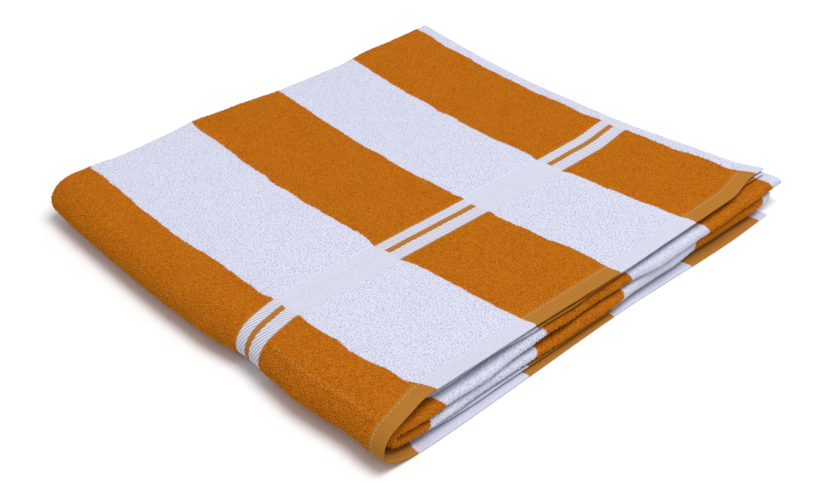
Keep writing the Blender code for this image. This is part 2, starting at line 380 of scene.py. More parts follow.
# %% [markdown]
# ## Fold the sheet
#
# Past the nose each layer lies flat.
# On the nose, two layers such as 7 above and 0 below are joined by half an
# ellipse, whose reach grows from round on the inner layers to long on the outer,
# so that they nest.
# A circle would be simpler, but a towel's own weight flattens its fold.
# Inner layers take up less cloth round the nose, which moves their stripes, and
# the outer hem is stretched at its corners, which moves them there.

# %% Fold
NOSE_NESTING = 0.0050
NOSE_SHIFT = 0.006
TAKEN_UP = 0.0025
HEM_PULL_START = 0.94
HEM_PULL_LINE = (("across", "y"), (-0.10, 0.0000), (0.038, 0.0080), (0.105, 0.0004),
                 (0.290, 0.0004), (0.368, 0.0060), (0.381, 0.0050))


def pulled(layer, nearness, columns):
    """How far the outer hem is stretched along its own edge: a table's line, eased in
    over the last of the way to the hem."""
    share = ease((nearness - HEM_PULL_START) / (1.0 - HEM_PULL_START))
    return np.where(layer > OUTER - 0.5, share, 0.0) * smooth_line(HEM_PULL_LINE, columns)


def folded(stations, columns):
    """Places of a grid of points: x from the lines' weights, and y and z from a flat
    layer or from half an ellipse, by the distance across the towel."""
    layer, bulge, weights = stations[:, :1], stations[:, 1:2], stations[:, 2:]
    taken_up = TAKEN_UP * (OUTER - layer)
    placed = columns + pulled(layer, weights[:, :1], columns)
    across = placed + NOSE_SHIFT - taken_up * np.clip(2 * columns / STRIPE, -1.0, 1.0)
    x = np.einsum("sl,lsc->sc", weights, line_places(across)) + bulge

    tip_x = weights @ line_places(np.zeros(1)) + bulge
    tip_top, tip_bottom = (height_of(level, tip_x, 0 * tip_x) for level in (layer, OUTER - layer))
    tip_half = (tip_top - tip_bottom) / 2
    outer_half = (HEIGHT_AT_NOSE - CLOTH) / 2
    reach = tip_half * (1.0 + (NOSE_REACH / outer_half - 1.0) * tip_half / outer_half)
    axis = reach - NOSE_REACH + NOSE_NESTING * (OUTER - layer)
    quarter = math.pi / 2 * np.sqrt((reach ** 2 + tip_half ** 2) / 2)

    angle = np.clip(across / quarter, -1.0, 1.0) * math.pi / 2
    flat = axis + np.maximum(np.abs(across) - quarter, 0.0)
    upper = height_of(layer, x, flat)
    lower = height_of(OUTER - layer, x, flat)
    z = (upper + lower) / 2 + (upper - lower) / 2 * np.sin(angle)
    return np.stack([*warped(x, flat - reach * np.cos(angle)), z], axis=-1)


print("before it is laid on the solid, the nose's tip lies at y =", -NOSE_REACH, "m")

# %% Lay the sheet where the solid is
middle = folded(stations, columns)
own_centre = (middle.min(axis=(0, 1)) + middle.max(axis=(0, 1))) / 2
shift = np.append((solid_low + solid_high)[:2] / 2 - own_centre[:2], 0.0)
middle += shift
print("folded sheet, in mm:", np.round(np.ptp(middle, axis=(0, 1)) * 1000, 1))

# %% [markdown]
# ## Distance along the cloth
#
# Hem, border and stitches are placed by their distance from the cloth's end.
# The length of the folded path down one typical column gives it for each station.

# %% Distance along
typical = np.argmin(np.abs(columns - 2.5 * STRIPE))
path = np.diff(middle[:, typical], axis=0)
along = np.append(0.0, np.cumsum(np.linalg.norm(path, axis=1)))
CLOTH_LENGTH = along[-1]
from_end = np.minimum(along, CLOTH_LENGTH - along)
print("flat size:", round(2 * HALF_WIDTH, 3), "by", round(CLOTH_LENGTH, 3), "m")

# %% [markdown]
# ## Thickness
#
# Terry is thick because of its loops.
# The sheet is only the ground weave, and the loops are set on it later.
# The hem and the woven border have none: the hem is doubled and so a little
# thicker than the border, and both lie sunk in the pile.
# All edges are rounded over the last millimetre.

# %% Thickness
GROUND_SHARE = 0.80
BORDER_SHARE = 0.50
ROUNDING = 0.0012
THINNEST_EDGE = 0.2


def between(value, low, high, soft):
    """1 where the value lies between two bounds, 0 outside, eased over soft metres."""
    return ease((value - low) / soft + 0.5) * ease((high - value) / soft + 0.5)


def rounded(distance):
    """Share of the thickness near an edge: the height of a quarter circle."""
    part = np.clip(distance / ROUNDING, 0.0, 1.0)
    return np.sqrt(np.clip(1.0 - (1.0 - part) ** 2, THINNEST_EDGE ** 2, 1.0))


in_hem = between(from_end, -1.0, HEM, 2 * STEP_WIDTH)
in_border = between(from_end, BAND_NEAR, BAND_FAR, 2 * STEP_WIDTH)
thinned = (GROUND_SHARE - HEM_SHARE) * in_hem + (GROUND_SHARE - BORDER_SHARE) * in_border
thickness = CLOTH * (GROUND_SHARE - thinned)[:, None]
thickness = thickness * rounded(from_end)[:, None] * rounded(HALF_WIDTH - np.abs(columns))
print("thickness from", round(thickness.min() * 1000, 2), "to", round(thickness.max() * 1000, 2), "mm")

# %% [markdown]
# ## Soft dents and creases
#
# Terry never lies quite flat.
# Broad swells and small dimples could be a bump in the material, but they would
# then be missing from the outline, so the sheet itself is moved.
# They are value noise, random heights on a net with eased blending between them.
# A sharp crease and a shallow trough run along the nearest stripe.
# Only the outer layer has them, because those inside are pressed flat.

# %% Noise and normals
def soft_noise(u, v, size, seed):
    """Value noise: random heights from -1 to 1 on a net of one size, eased between."""
    net = np.random.default_rng(seed).uniform(-1.0, 1.0, (NET, NET))
    row, column = np.floor(u / size).astype(int), np.floor(v / size).astype(int)
    part_u, part_v = ease(u / size - row), ease(v / size - column)
    row, column, next_row, next_column = (value % NET for value in (row, column, row + 1, column + 1))
    low = net[row, column] * (1 - part_v) + net[row, next_column] * part_v
    high = net[next_row, column] * (1 - part_v) + net[next_row, next_column] * part_v
    return low * (1 - part_u) + high * part_u


def unit(vectors):
    """Vectors made one long."""
    return vectors / np.linalg.norm(vectors, axis=-1, keepdims=True)


def normals_of(points):
    """Unit normals of a grid of points, from the cross product of its two slopes."""
    return unit(np.cross(np.gradient(points, axis=1), np.gradient(points, axis=0)))


print("the sheet's normals have", normals_of(middle).shape[-1], "numbers each")

# %% Relief of the outer layer
SWELL, SWELL_SIZE = 0.0005, 0.055
DIMPLE, DIMPLE_SIZE = 0.00016, 0.007
CREASE_START, CREASE_END = (0.102, 0.0115), (0.014, 0.0112)
CREASES = (("along 1", "across 1", "along 2", "across 2", "half width", "height"),
           (*CREASE_START, *CREASE_END, 0.0016, 0.0011),
           (0.330, 0.0300, 0.180, 0.0150, 0.0060, -0.0006))
NOSE_FADE = 0.03

on_top = ease((stations[:, :1] - (OUTER - 0.5)) * 4) * ease(columns / NOSE_FADE + 1.0)
grid_along, grid_across = np.broadcast_arrays(along[:, None], columns)
relief = (SWELL * (1.0 + soft_noise(grid_along, grid_across, SWELL_SIZE, seed=3))
          + DIMPLE * soft_noise(grid_along, grid_across, DIMPLE_SIZE, seed=5))
for s_1, v_1, s_2, v_2, half_width, height in rows_of(CREASES):
    part = np.clip((grid_along - s_1) / (s_2 - s_1), 0.0, 1.0)
    away = np.hypot(grid_along - s_1 - part * (s_2 - s_1), grid_across - v_1 - part * (v_2 - v_1))
    relief = relief + height * np.exp(-(away / half_width) ** 2)
middle = middle + normals_of(middle) * (relief * on_top)[..., None]
print("relief up to", round((relief * on_top).max() * 1000, 2), "mm")

# %% [markdown]
# ## The sheet as a mesh
#
# Both faces of the cloth are the middle surface moved along its normal by half
# the thickness, and a strip of faces closes the edge all round.
# A Solidify modifier could do it too, but here each point has its own thickness.
# A UV map holds the two distances, along and across the cloth, in metres, so
# every pattern of the weave can follow the folds.

# %% Faces of a grid
def grid_faces(rows, width, start=0):
    """Four-cornered faces between neighbouring points of a grid."""
    corner = start + np.arange(rows * width).reshape(rows, width)
    around = (corner[:-1, :-1], corner[:-1, 1:], corner[1:, 1:], corner[1:, :-1])
    return np.stack(around, axis=-1).reshape(-1, 4)


def edge_loop(rows, width):
    """Point numbers round the edge of a grid, back to the first."""
    corner = np.arange(rows * width).reshape(rows, width)
    return np.concatenate([corner[0, :-1], corner[:-1, -1], corner[-1, :0:-1],
                           corner[:0:-1, 0], corner[0, :1]])


rows, width = middle.shape[:2]
front_faces = grid_faces(rows, width)[:, ::-1]
back_faces = grid_faces(rows, width, rows * width)
edge = edge_loop(rows, width)
print(len(front_faces), "faces on each side,", len(edge) - 1, "round the edge")

# %% Make an object
def new_mesh_object(name, vertices, faces, uv):
    """A smooth mesh object whose UV map holds one pair of distances for each point."""
    mesh = bpy.data.meshes.new(name)
    mesh.from_pydata(vertices.tolist(), [], faces.tolist())
    corners = np.empty(len(mesh.loops), dtype=np.int32)
    mesh.loops.foreach_get("vertex_index", corners)
    layer = mesh.uv_layers.new(name="cloth")
    layer.data.foreach_set("uv", uv[corners].ravel())
    mesh.shade_smooth()
    piece = bpy.data.objects.new(name, mesh)
    bpy.context.scene.collection.objects.link(piece)
    return piece


# %% Closed sheet
half = normals_of(middle) * thickness[..., None] / 2
front, back = middle + half, middle - half
rim_faces = np.column_stack([edge[:-1], edge[1:], edge[1:] + rows * width, edge[:-1] + rows * width])
sheet_points = np.concatenate([front.reshape(-1, 3), back.reshape(-1, 3)])
sheet_points[:, 2] = np.maximum(sheet_points[:, 2], 0.0)
uv = np.tile(np.stack([grid_along, grid_across], axis=-1).reshape(-1, 2), (2, 1))
towel = new_mesh_object("towel_cloth", sheet_points,
                        np.concatenate([front_faces, back_faces, rim_faces[:, ::-1]]), uv)
print(len(towel.data.polygons) * 2, "triangles")

# %% [markdown]
# ## Places between the points
#
# Stitches and loops stand anywhere on the cloth, not only at its points.
# So a grid is read at a pair of distances, blended from the four points around.
# It works for places and for normals alike.

# %% Read the sheet anywhere
def on_sheet(grid, places):
    """Read a grid of the sheet at pairs of distances, blended from its four points."""
    row = np.interp(places[:, 0], along, np.arange(len(along)))
    column = np.interp(places[:, 1], columns, np.arange(len(columns)))
    low_row = np.minimum(row.astype(int), len(along) - 2)
    low_column = np.minimum(column.astype(int), len(columns) - 2)
    down, right = (row - low_row)[:, None], (column - low_column)[:, None]
    upper = grid[low_row, low_column] * (1 - right) + grid[low_row, low_column + 1] * right
    lower = (grid[low_row + 1, low_column] * (1 - right)
             + grid[low_row + 1, low_column + 1] * right)
    return upper * (1 - down) + lower * down


border_place = on_sheet(front, np.array([[BAND_NEAR, STRIPE]]))[0]
print("the border on the second stripe lies at", np.round(border_place, 3))

# %% [markdown]
# ## Hem stitches
#
# A row of machine stitches holds each hem down, and shows on both its faces.
# Each stitch is a short thread that dips into the cloth at both ends.
# A line drawn in the material would be simpler, but a thread catches the light.
# It is one small tube: a half sine lifts its middle, and its thickness follows
# the same curve, so that it stays closed and slim at both ends.

# %% Faces of a stitch
STITCH_RINGS = 5
THREAD_SIDES = 6
CAP = np.array([[0, 1, 2, 3], [0, 3, 4, 5]])


def tube_faces(count):
    """Faces of many tubes: four-cornered ones between rings, and two for each cap."""
    ring = np.arange(count)[:, None] * STITCH_RINGS + np.arange(STITCH_RINGS - 1)
    first = ring.ravel()[:, None] * THREAD_SIDES
    k = np.arange(THREAD_SIDES)
    after = (k + 1) % THREAD_SIDES
    sides = np.stack([first + k, first + after, first + THREAD_SIDES + after,
                      first + THREAD_SIDES + k], axis=-1)
    start_ring = np.arange(count)[:, None, None] * STITCH_RINGS * THREAD_SIDES
    end_ring = start_ring + (STITCH_RINGS - 1) * THREAD_SIDES
    caps = [start_ring + CAP[:, ::-1], end_ring + CAP]
    return np.concatenate([faces.reshape(-1, 4) for faces in (sides, *caps)])


print(len(tube_faces(1)), "faces for each stitch")

# %% Stitches
STITCH_FROM_EDGE = 0.0098
STITCH_PITCH = 0.0030
STITCH_LENGTH = 0.0024
SELVAGE_MARGIN = 0.002
THREAD_RADIUS = 0.00024
THREAD_LIFT, THREAD_DIP = 1.3 * THREAD_RADIUS, 0.9 * THREAD_RADIUS
SLIM_END = 0.25


def stitch_row(name, distance, side):
    """A row of stitches on one face of the cloth, side 1 or -1, at one distance: rings
    of points round a line that rises and thickens by half a sine."""
    count = int(2 * (HALF_WIDTH - SELVAGE_MARGIN) / STITCH_PITCH)
    starts = (np.arange(count) - count / 2) * STITCH_PITCH
    part = np.linspace(0.0, 1.0, STITCH_RINGS)
    across = (starts[:, None] + part * STITCH_LENGTH).ravel()
    places = np.column_stack([np.full(len(across), distance), across])
    face = on_sheet(front if side > 0 else back, places)
    normal = unit(on_sheet(normals_of(middle), places)) * side
    other = np.cross(normal, unit(np.gradient(face, axis=0)))
    hump = np.tile(np.sin(math.pi * part), count)[:, None]
    centre = face + normal * (THREAD_LIFT * hump - THREAD_DIP)
    radius = THREAD_RADIUS * (SLIM_END + (1.0 - SLIM_END) * hump)
    turn = np.linspace(0.0, 2 * math.pi, THREAD_SIDES, endpoint=False)[:, None]
    ring = np.cos(turn) * normal[:, None] + np.sin(turn) * other[:, None]
    points = centre[:, None] + radius[:, None] * ring
    return new_mesh_object(name, points.reshape(-1, 3), tube_faces(count),
                           np.repeat(places, THREAD_SIDES, axis=0))


stitches = [stitch_row("hem_1_stitches_outside", STITCH_FROM_EDGE, 1),
            stitch_row("hem_1_stitches_inside", STITCH_FROM_EDGE, -1),
            stitch_row("hem_2_stitches_outside", CLOTH_LENGTH - STITCH_FROM_EDGE, 1),
            stitch_row("hem_2_stitches_inside", CLOTH_LENGTH - STITCH_FROM_EDGE, -1)]
print(sum(len(piece.data.polygons) for piece in stitches) * 2, "triangles of stitches")

# %% [markdown]
# ## Terry loops
#
# Terry is terry because of its loops, which stand about a millimetre apart.
# Real loops could be curves, but a hundred thousand curves are heavy.
# Here each loop is one small spindle with six faces, sunk with one tip in the
# cloth and leaning far over in its own direction.
# A spindle that would dip below the surface under the towel is flattened on it.
# They stand only where they can be seen: on the outer layer, round the nose, on
# the folded end and on the rolls between the hems.
# The flat hem and the border stay free of them.

# %% Where loops stand
LOOP_SPACING = 0.00118
SCATTER = 0.8
BARE_MARGIN = 0.0005
BARE_FAR_MARGIN = 0.0012
UNDER_NOSE = -0.040
FOLD_REACH = 0.012
RIDGE_REACH = 0.013
NEAR_SELVAGE = HALF_WIDTH - 0.001
rng = np.random.default_rng(11)


def scattered(s_range, v_range):
    """Places one spacing apart on a net, each moved by a random part of a spacing."""
    net = np.meshgrid(np.arange(*s_range, LOOP_SPACING), np.arange(*v_range, LOOP_SPACING))
    places = np.stack(net, axis=-1).reshape(-1, 2)
    return places + (rng.random(places.shape) - 0.5) * SCATTER * LOOP_SPACING


fold_at = along[np.argmin(np.abs(stations[:, 0] - (OUTER + INNER) / 2))]
ridge_at = along[np.argmin(np.abs(stations[:, 0] - (INNER + ABOVE_INNER) / 2))]
places = np.concatenate([
    scattered((HEM + BARE_MARGIN, BAND_NEAR - BARE_MARGIN), (UNDER_NOSE, NEAR_SELVAGE)),
    scattered((BAND_FAR + BARE_FAR_MARGIN, fold_at + FOLD_REACH), (UNDER_NOSE, NEAR_SELVAGE)),
    scattered((fold_at - FOLD_REACH, fold_at + FOLD_REACH), (-NEAR_SELVAGE, UNDER_NOSE)),
    scattered((ridge_at - RIDGE_REACH, ridge_at + RIDGE_REACH), (-NEAR_SELVAGE, NEAR_SELVAGE))])
places = places[rng.permutation(len(places))]
print(len(places), "places for loops")

# %% Loops
LOOP_LENGTH = 0.0012
SHORTEST, LONGEST = 0.8, 1.15
LOOP_RADIUS = 0.00047
LOOP_ROOT = 0.0003
BELLY = 0.6
LEAST_LEAN, MOST_LEAN = 0.7, 1.25
LOOP_FACES = np.array([[0, 2, 1], [0, 3, 2], [0, 1, 3], [4, 1, 2], [4, 2, 3], [4, 3, 1]])
LOOPS_A_PIECE = 32000


def loop_points(places):
    """Five points for each loop: root, three round its belly, and tip, all on a line
    that leans from the normal by a random angle in a random direction."""
    normal = unit(on_sheet(normals_of(middle), places))
    root = on_sheet(front, places) - normal * LOOP_ROOT
    lean = rng.uniform(LEAST_LEAN, MOST_LEAN, len(places))[:, None]
    anyway = unit(np.cross(normal, rng.normal(size=root.shape)))
    forward = normal * np.cos(lean) + anyway * np.sin(lean)
    length = LOOP_LENGTH * rng.uniform(SHORTEST, LONGEST, len(places))[:, None]
    first = unit(np.cross(forward, normal))
    second = np.cross(forward, first)
    belly = root + forward * length * BELLY
    ring = [belly + LOOP_RADIUS * (math.cos(turn) * first + math.sin(turn) * second)
            for turn in (0.0, 2 * math.pi / 3, 4 * math.pi / 3)]
    points = np.stack([root, *ring, root + forward * length], axis=1)
    points[..., 2] = np.maximum(points[..., 2], 0.0)
    return points


loops = []
for start in range(0, len(places), LOOPS_A_PIECE):
    chosen = places[start:start + LOOPS_A_PIECE]
    first_point = np.arange(len(chosen))[:, None, None] * 5
    loops.append(new_mesh_object("loops_%d" % (len(loops) + 1), loop_points(chosen).reshape(-1, 3),
                                 (first_point + LOOP_FACES).reshape(-1, 3),
                                 np.repeat(chosen, 5, axis=0)))
print(len(loops), "pieces,", len(places) * len(LOOP_FACES), "triangles of loops")

# %% [markdown]
# ## Helpers for materials
#
# A material is a small graph of nodes.
# These helpers add one node each and pass its result on, so a formula can be
# written almost as on paper.

# %% Node helpers
def feed(tree, socket, value):
    """Give an input either a constant or another node's output."""
    if isinstance(value, bpy.types.NodeSocket):
        tree.links.new(value, socket)
    else:
        socket.default_value = value


def calc(tree, operation, *values):
    """A Math node: its operation and its values, constants or outputs."""
    node = tree.nodes.new("ShaderNodeMath")
    node.operation = operation
    for socket, value in zip(node.inputs, values):
        feed(tree, socket, value)
    return node.outputs[0]


def remap(tree, value, low, high, to_low=0.0, to_high=1.0):
    """A Map Range node that eases a value from one range into another."""
    node = tree.nodes.new("ShaderNodeMapRange")
    node.interpolation_type = "SMOOTHSTEP"
    for name, number in (("Value", value), ("From Min", low), ("From Max", high),
                         ("To Min", to_low), ("To Max", to_high)):
        feed(tree, node.inputs[name], number)
    return node.outputs["Result"]


def noise(tree, vector, scale, detail=2.0, roughness=0.5):
    """A Noise Texture's grey value, from 0 to 1."""
    node = tree.nodes.new("ShaderNodeTexNoise")
    feed(tree, node.inputs["Vector"], vector)
    feed(tree, node.inputs["Scale"], scale)
    node.inputs["Detail"].default_value = detail
    node.inputs["Roughness"].default_value = roughness
    return node.outputs["Fac"]


def blend_colours(tree, share, first, second):
    """A Mix node on two colours."""
    node = tree.nodes.new("ShaderNodeMix")
    node.data_type = "RGBA"
    feed(tree, node.inputs["Factor"], share)
    feed(tree, node.inputs[6], first)
    feed(tree, node.inputs[7], second)
    return node.outputs[2]


def new_group(name, inputs, outputs):
    """A shader node group with named inputs and outputs, and its two end nodes."""
    group = bpy.data.node_groups.new(name, "ShaderNodeTree")
    for socket_name, kind in inputs:
        group.interface.new_socket(name=socket_name, in_out="INPUT", socket_type=kind)
    for socket_name, kind in outputs:
        group.interface.new_socket(name=socket_name, in_out="OUTPUT", socket_type=kind)
    return group, group.nodes.new("NodeGroupInput"), group.nodes.new("NodeGroupOutput")


NUMBER, VECTOR = "NodeSocketFloat", "NodeSocketVector"
print("sockets of a group:", NUMBER, "and", VECTOR)

# %% [markdown]
# ## Where the stripes, hems and border lie
#
# The cloth, its loops and its stitches all need to know which yarn shows at a
# place, so one group takes the distances along and across, and puts out masks.
# The distance to the nearest orange stripe's middle is a triangle wave of the
# distance across, and the distance to an end is the smaller of two distances.
# Loops lean over the edge of a stripe, so a noise makes it wander a little, and
# the pile is drawn together at the border, so the orange flares there.
# Where the border crosses orange, tan lines run along its middle and both rims.
# The middle line has small saw-teeth on the hem's side, and the far rim has them
# too, because the weave changes there in steps.

# %% Group: woven layout
BAND_MIDDLE = (BAND_NEAR + BAND_FAR) / 2
BAND_HALF = (BAND_FAR - BAND_NEAR) / 2
LINE_PLACE = BAND_MIDDLE + 0.0010
CENTRE_LINE = 0.0021
EDGE_LINE = 0.0014
TOOTH_PITCH = 0.0049
TOOTH = 0.0004
WANDER = 0.0009
BROAD_WANDER, FINE_WANDER = (38.0, 8.0), (700.0, 2.0)
FLARE, FLARE_REACH = 0.0016, 0.007
STRIPE_SOFT = 0.0005
WEAVE_SOFT = 0.0003


def make_layout_group():
    """Masks for white yarn, for flat weave, and for the twill between the border's
    lines: soft steps on the distances to a stripe's, the border's and the hem's edge."""
    group, start, end = new_group("Woven layout", [("Cloth", VECTOR), ("Wander", NUMBER)],
                                  [("White", NUMBER), ("Flat", NUMBER), ("Twill", NUMBER)])
    cloth = start.outputs["Cloth"]
    parts = group.nodes.new("ShaderNodeSeparateXYZ")
    group.links.new(cloth, parts.inputs[0])
    s, v = parts.outputs["X"], parts.outputs["Y"]
    end_distance = calc(group, "MINIMUM", s, calc(group, "SUBTRACT", CLOTH_LENGTH, s))
    from_middle = calc(group, "ABSOLUTE", calc(group, "SUBTRACT", end_distance, BAND_MIDDLE))

    def wandering(scale, strength):
        """A noise moved to lie round zero, times its strength."""
        return calc(group, "MULTIPLY", calc(group, "SUBTRACT", noise(group, cloth, scale), 0.5), strength)

    sway = calc(group, "ADD", wandering(*BROAD_WANDER), wandering(*FINE_WANDER))
    sway = calc(group, "MULTIPLY", sway, start.outputs["Wander"])
    beside_border = calc(group, "ABSOLUTE", calc(group, "SUBTRACT", from_middle, BAND_HALF))
    flare = remap(group, beside_border, 0.0, FLARE_REACH, FLARE, 0.0)
    stripe = calc(group, "PINGPONG", calc(group, "ABSOLUTE", v), STRIPE)
    edge = calc(group, "SUBTRACT", calc(group, "ADD", stripe, sway), flare)
    white = remap(group, calc(group, "SUBTRACT", edge, STRIPE / 2), -STRIPE_SOFT, STRIPE_SOFT)

    def within(distance, bound):
        """1 up to a bound and 0 past it, with a soft step."""
        return remap(group, distance, bound - WEAVE_SOFT, bound + WEAVE_SOFT, 1.0, 0.0)

    past_line = calc(group, "SUBTRACT", end_distance, LINE_PLACE)
    saw = calc(group, "MULTIPLY", calc(group, "FRACT", calc(group, "DIVIDE", v, TOOTH_PITCH)), TOOTH)
    line_teeth = calc(group, "MULTIPLY", calc(group, "LESS_THAN", past_line, 0.0), saw)
    edge_teeth = calc(group, "MULTIPLY", calc(group, "GREATER_THAN", past_line, 0.0), saw)
    centre = within(calc(group, "SUBTRACT", calc(group, "ABSOLUTE", past_line), line_teeth), CENTRE_LINE)
    inside = within(calc(group, "ADD", from_middle, edge_teeth), BAND_HALF - EDGE_LINE)
    in_band = within(from_middle, BAND_HALF)
    lines = calc(group, "MULTIPLY", calc(group, "MAXIMUM", centre, calc(group, "SUBTRACT", 1.0, inside)),
                 in_band)
    results = {"White": white, "Twill": calc(group, "SUBTRACT", in_band, lines),
               "Flat": calc(group, "MAXIMUM", within(end_distance, HEM), in_band)}
    for name, result in results.items():
        group.links.new(result, end.inputs[name])
    return group


layout_group = make_layout_group()
print("outputs:", [item.name for item in layout_group.interface.items_tree if item.in_out == "OUTPUT"])

# %% [markdown]
# ## Ground weave and flat weave
#
# Between its loops the ground of terry is a fine, uneven net.
# A Voronoi texture gives one rounded hump for each loop's root, and a noise
# tousles them.
# The flat weave has fine ribs that run into the cloth, crossed by finer threads,
# and the border's twill shows as slanting lines.
# Threads of half a millimetre are too fine for geometry, so they are bump.

# %% Groups: loop roots and flat weave
ROOT_SMOOTHNESS = 0.35
TOUSLE_SHARE = 0.4
THREAD_SHARE = 0.3
THREADS_TO_RIBS = 0.6


def make_roots_group():
    """Height of the ground: 1 at a loop's root, 0 between, mixed with a noise."""
    group, start, end = new_group("Loop roots", [("Cloth", VECTOR), ("Loop Size", NUMBER)],
                                  [("Height", NUMBER)])
    cloth = start.outputs["Cloth"]
    scale = calc(group, "DIVIDE", 1.0, start.outputs["Loop Size"])
    cells = group.nodes.new("ShaderNodeTexVoronoi")
    cells.feature = "SMOOTH_F1"
    cells.inputs["Smoothness"].default_value = ROOT_SMOOTHNESS
    group.links.new(cloth, cells.inputs["Vector"])
    group.links.new(scale, cells.inputs["Scale"])
    hump = remap(group, cells.outputs["Distance"], 0.15, 0.75, 1.0, 0.0)
    tousle = noise(group, cloth, calc(group, "MULTIPLY", scale, 1.6), 3.0, 0.6)
    humps = calc(group, "MULTIPLY", hump, 1.0 - TOUSLE_SHARE)
    height = calc(group, "ADD", humps, calc(group, "MULTIPLY", tousle, TOUSLE_SHARE))
    group.links.new(height, end.inputs["Height"])
    return group


def make_weave_group():
    """Ribs across the hem, and slanting twill lines, each from a sine of a distance."""
    group, start, end = new_group("Flat weave", [("Cloth", VECTOR), ("Rib Pitch", NUMBER),
                                                 ("Twill Pitch", NUMBER), ("Twill Slant", NUMBER)],
                                  [("Ribs", NUMBER), ("Twill", NUMBER)])
    parts = group.nodes.new("ShaderNodeSeparateXYZ")
    group.links.new(start.outputs["Cloth"], parts.inputs[0])
    s, v = parts.outputs["X"], parts.outputs["Y"]
    turn = 2 * math.pi

    def waves(distance, pitch):
        """A sine of a distance, moved to run from 0 to 1 once in each pitch."""
        wave = calc(group, "SINE", calc(group, "MULTIPLY", calc(group, "DIVIDE", distance, pitch), turn))
        return calc(group, "MULTIPLY_ADD", wave, 0.5, 0.5)

    slanted = calc(group, "ADD", s, calc(group, "MULTIPLY", v, start.outputs["Twill Slant"]))
    ribs = calc(group, "MULTIPLY", waves(v, start.outputs["Rib Pitch"]), 1.0 - THREAD_SHARE)
    threads = waves(s, calc(group, "MULTIPLY", start.outputs["Rib Pitch"], THREADS_TO_RIBS))
    group.links.new(calc(group, "MULTIPLY_ADD", threads, THREAD_SHARE, ribs), end.inputs["Ribs"])
    group.links.new(waves(slanted, start.outputs["Twill Pitch"]), end.inputs["Twill"])
    return group


roots_group = make_roots_group()
weave_group = make_weave_group()
print("groups:", roots_group.name, "and", weave_group.name)

# %% [markdown]
# ## The cloth's material
#
# Orange yarn and white yarn make the stripes, in terry and in flat weave.
# Each finish has a dark and a light colour, and its pattern blends between them.
# On the terry ground the dark colour is painted shade in the low gaps between the loop roots.
# The flat weave looks paler and browner on the orange stripes, because its white
# weft shows between the orange warp, and on white it is only a little mottled.
# Cotton is matt, so the shader has no shine at all.

# %% Colours of the cloth
# The terry ground's dark colours are painted shade between the loop roots.
GROUND_ORANGE = ((0.38, 0.090, 0.005, 1.0), (0.54, 0.165, 0.010, 1.0))
GROUND_WHITE = ((0.63, 0.64, 0.765, 1.0), (0.68, 0.69, 0.81, 1.0))
FLAT_TAN = ((0.38, 0.142, 0.020, 1.0), (0.475, 0.206, 0.038, 1.0))
FLAT_WHITE = ((0.55, 0.56, 0.675, 1.0), (0.68, 0.69, 0.815, 1.0))
TWILL_ON_ORANGE = ((0.46, 0.43, 0.50, 1.0), (0.72, 0.72, 0.84, 1.0))
TWILL_ON_WHITE = ((0.565, 0.575, 0.69, 1.0), (0.70, 0.71, 0.835, 1.0))
print("the ground's orange, dark and light:", GROUND_ORANGE)

# %% Helpers for this towel's materials
def use_group(tree, group, **values):
    """Place a group in a material and give its inputs, named with _ for a space."""
    node = tree.nodes.new("ShaderNodeGroup")
    node.node_tree = group
    for name, value in values.items():
        feed(tree, node.inputs[name.replace("_", " ")], value)
    return node.outputs


def new_material(name):
    """A material with a matt Principled shader: its tree and its shader."""
    material = bpy.data.materials.new(name)
    material.use_nodes = True
    tree = material.node_tree
    shader = tree.nodes["Principled BSDF"]
    shader.inputs["Roughness"].default_value = 0.95
    shader.inputs["Specular IOR Level"].default_value = 0.0
    return material, tree, shader


def cloth_places(tree):
    """The UV map with the distances along and across the cloth."""
    node = tree.nodes.new("ShaderNodeUVMap")
    node.uv_map = "cloth"
    return node.outputs["UV"]


print("a new material is matt")

# %% Cloth material
LOOP_SIZE = 0.0010
RIB_PITCH = 0.0011
TWILL_PITCH = 0.0022
TWILL_SLANT = 0.45
ROOT_BUMP = 0.0004
WEAVE_BUMP = 0.00025
MOTTLE_SCALE = 800.0
MOTTLE_ON_RIBS, MOTTLE_ON_TWILL = 0.6, 0.65


def cloth_colour(tree, layout, height, weave, cloth):
    """The colour of terry and of each flat weave, mixed by the layout's masks."""
    # Painted shade: the terry ground is darker where it lies low between the loop roots.
    painted_gap_shade = remap(tree, height, 0.15, 0.65)
    terry = blend_colours(tree, layout["White"], blend_colours(tree, painted_gap_shade, *GROUND_ORANGE),
                          blend_colours(tree, painted_gap_shade, *GROUND_WHITE))

    def with_mottle(pattern, mottle_share):
        """A pattern with some share of a fine noise in its place."""
        part = calc(tree, "MULTIPLY", mottle, mottle_share)
        return calc(tree, "MULTIPLY_ADD", pattern, 1.0 - mottle_share, part)

    mottle = remap(tree, noise(tree, cloth, MOTTLE_SCALE, 2.0, 0.6), 0.35, 0.65)
    slants = remap(tree, weave["Twill"], 0.15, 0.6)
    ribbed = blend_colours(tree, layout["White"], blend_colours(tree, weave["Ribs"], *FLAT_TAN),
                           blend_colours(tree, with_mottle(weave["Ribs"], MOTTLE_ON_RIBS), *FLAT_WHITE))
    twill = blend_colours(tree, layout["White"], blend_colours(tree, slants, *TWILL_ON_ORANGE),
                          blend_colours(tree, with_mottle(slants, MOTTLE_ON_TWILL), *TWILL_ON_WHITE))
    woven = blend_colours(tree, layout["Twill"], ribbed, twill)
    return blend_colours(tree, layout["Flat"], terry, woven)


